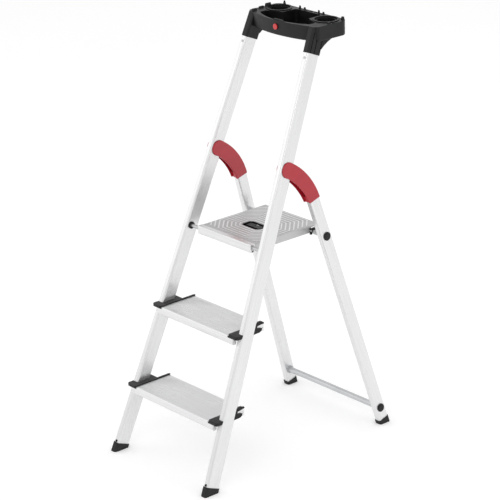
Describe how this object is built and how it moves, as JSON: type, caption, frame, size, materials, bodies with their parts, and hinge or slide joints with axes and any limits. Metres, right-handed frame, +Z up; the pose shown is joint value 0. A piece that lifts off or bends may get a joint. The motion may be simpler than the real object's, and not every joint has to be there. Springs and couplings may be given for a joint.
{
  "type": "step stool",
  "caption": "Folding aluminium step ladder with wide treads, a folding platform, high front stiles that carry a tool tray, and a rear frame on red plastic joints.",
  "frame": {"origin": "centre of the footprint of the four feet on the floor", "axes": "+Z up; +Y from the tread side towards the rear frame; +X to the right for someone who faces the treads"},
  "size_m": [0.4362, 0.7362, 1.265],
  "materials": {
    "anodised_aluminium": "satin",
    "black_plastic": "fine grained",
    "red_plastic": "satin gloss",
    "red_badge": "gloss",
    "zinc_plated_steel": "satin",
    "grey_plastic": "matt"
  },
  "bodies": {
    "front_frame": {"left_stile": "anodised_aluminium", "right_stile": "anodised_aluminium", "lower_tread": "anodised_aluminium", "upper_tread": "anodised_aluminium", "lower_left_tread_cap": "black_plastic", "lower_right_tread_cap": "black_plastic", "upper_left_tread_cap": "black_plastic", "upper_right_tread_cap": "black_plastic", "left_front_foot": "black_plastic", "right_front_foot": "black_plastic", "front_foot_pegs": "black_plastic", "tread_dowels": "black_plastic", "tool_tray": "black_plastic", "tray_badge": "red_badge", "tray_screws": "zinc_plated_steel", "joint_axles": "zinc_plated_steel", "platform_hinge_rod": "zinc_plated_steel", "platform_hinge_bushes": "black_plastic", "retaining_rings": "zinc_plated_steel"},
    "rear_frame": {"left_rear_leg": "anodised_aluminium", "right_rear_leg": "anodised_aluminium", "left_rear_foot": "black_plastic", "right_rear_foot": "black_plastic", "cross_bar": "anodised_aluminium", "cross_bar_plugs": "grey_plastic", "leg_bolts": "zinc_plated_steel", "leg_bolt_caps": "black_plastic", "platform_rest_pins": "zinc_plated_steel", "rest_pin_spacers": "grey_plastic", "joint_pins": "zinc_plated_steel", "left_joint_outer_shell": "red_plastic", "left_joint_inner_shell": "red_plastic", "right_joint_outer_shell": "red_plastic", "right_joint_inner_shell": "red_plastic"},
    "platform": {"platform_deck": "anodised_aluminium", "platform_hem": "anodised_aluminium", "deck_rivets": "zinc_plated_steel", "hook_rivets": "zinc_plated_steel", "left_platform_hook": "black_plastic", "right_platform_hook": "black_plastic", "grip_cup": "black_plastic", "paddle_pin": "zinc_plated_steel", "paddle_spring": "zinc_plated_steel"},
    "release_paddle": {"release_paddle": "black_plastic"}
  },
  "joints": [
    {"name": "rear_frame_fold", "type": "hinge", "parent": "front_frame", "child": "rear_frame", "pos_m": [0, 0.01674, 0.867], "axis": [1, 0, 0], "range_deg": [-38.5, 0]},
    {"name": "platform_fold", "type": "hinge", "parent": "front_frame", "child": "platform", "pos_m": [0, -0.08045, 0.6505], "axis": [1, 0, 0], "range_deg": [0, 67.5]},
    {"name": "release_paddle_lift", "type": "hinge", "parent": "platform", "child": "release_paddle", "pos_m": [0, 0.04305, 0.655], "axis": [1, 0, 0], "range_deg": [-12, 0], "stiffness_Nm_per_rad": 0.05}
  ],
  "couplings": [
    {"joint": "platform_fold", "follows": "rear_frame_fold", "ratio": -1.753}
  ]
}
